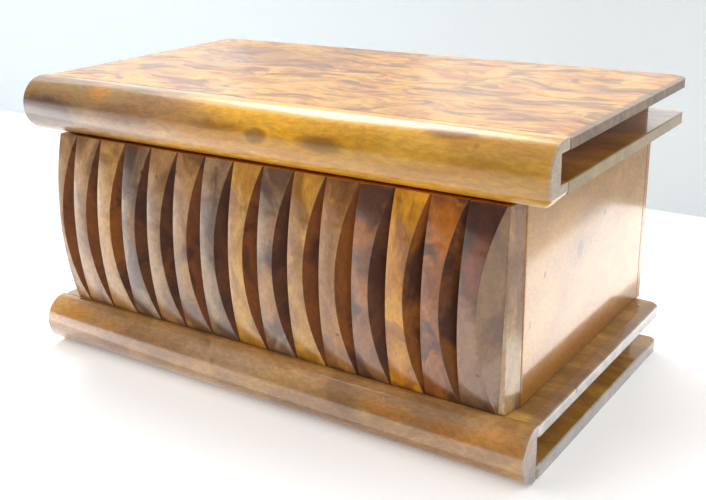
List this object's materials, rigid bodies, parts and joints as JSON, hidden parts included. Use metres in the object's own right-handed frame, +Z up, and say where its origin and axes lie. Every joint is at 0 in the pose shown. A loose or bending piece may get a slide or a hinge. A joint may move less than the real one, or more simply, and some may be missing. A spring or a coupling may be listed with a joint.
{
  "type": "book safe",
  "caption": "Varnished burl wood box shaped like two stacked books, with a hinged lid, a sliding slatted front over a lock and a sliding base spine over the key.",
  "frame": {"origin": "middle of the underside, at the centre of the overall length and depth", "axes": "+X along the length to the right of someone facing the slatted front, -Y out of the slatted front, +Z up"},
  "size_m": [0.25, 0.1452, 0.1246],
  "materials": {
    "burl_board": "gloss varnish",
    "burl_spine": "gloss varnish",
    "burl_side": "gloss varnish",
    "page_wood": "gloss varnish",
    "inner_wood": "gloss varnish",
    "slat_grey": "gloss varnish",
    "slat_tan": "gloss varnish",
    "slat_golden": "gloss varnish",
    "slat_dark": "gloss varnish",
    "slat_light": "gloss varnish",
    "slat_umber": "gloss varnish",
    "brass": "satin",
    "steel": "satin"
  },
  "bodies": {
    "box": {"left_side": "burl_side", "right_side": "burl_side", "back_panel": "burl_side", "front_wall": "inner_wood", "lock_case": "brass", "lock_cover": "brass", "lock_screws": "brass", "left_hinge_body_leaf": "brass", "right_hinge_body_leaf": "brass", "left_hinge_pin": "brass", "right_hinge_pin": "brass", "body_hinge_screws": "brass", "base_top_cover": "burl_board", "base_bottom_cover": "burl_board", "base_front_rail": "page_wood", "base_rear_rail": "page_wood", "base_left_rail": "page_wood", "base_right_rail": "page_wood", "key": "brass"},
    "lid": {"lid_top_cover": "burl_board", "lid_lower_cover": "burl_board", "lid_front_rail": "page_wood", "lid_rear_rail": "page_wood", "lid_left_rail": "page_wood", "lid_right_rail": "page_wood", "lid_spine": "burl_spine", "strike_plate": "brass", "strike_screws": "brass", "left_hinge_lid_leaf": "brass", "right_hinge_lid_leaf": "brass", "lid_hinge_screws": "brass"},
    "front_panel": {"slat_01": "slat_grey", "slat_02": "slat_tan", "slat_03": "slat_golden", "slat_04": "slat_dark", "slat_05": "slat_tan", "slat_06": "slat_tan", "slat_07": "slat_dark", "slat_08": "slat_light", "slat_09": "slat_dark", "slat_10": "slat_light", "slat_11": "slat_golden", "slat_12": "slat_dark", "slat_13": "slat_golden", "slat_14": "slat_golden", "slat_15": "slat_umber", "slat_carrier": "inner_wood", "end_strip": "slat_tan", "panel_runner": "inner_wood"},
    "base_spine": {"base_spine": "burl_spine"},
    "lock_bolt": {"lock_bolt": "steel"}
  },
  "joints": [
    {"name": "lid_hinge", "type": "hinge", "parent": "box", "child": "lid", "pos_m": [0, 0.0708, 0.1052], "axis": [-1, 0, 0], "range_deg": [0, 100]},
    {"name": "front_panel_slide", "type": "slide", "parent": "box", "child": "front_panel", "axis": [1, 0, 0], "range_m": [0, 0.034]},
    {"name": "base_spine_slide", "type": "slide", "parent": "box", "child": "base_spine", "axis": [1, 0, 0], "range_m": [0, 0.052]},
    {"name": "bolt_throw", "type": "slide", "parent": "box", "child": "lock_bolt", "axis": [0, 0, 1], "range_m": [0, 0.0038]}
  ]
}
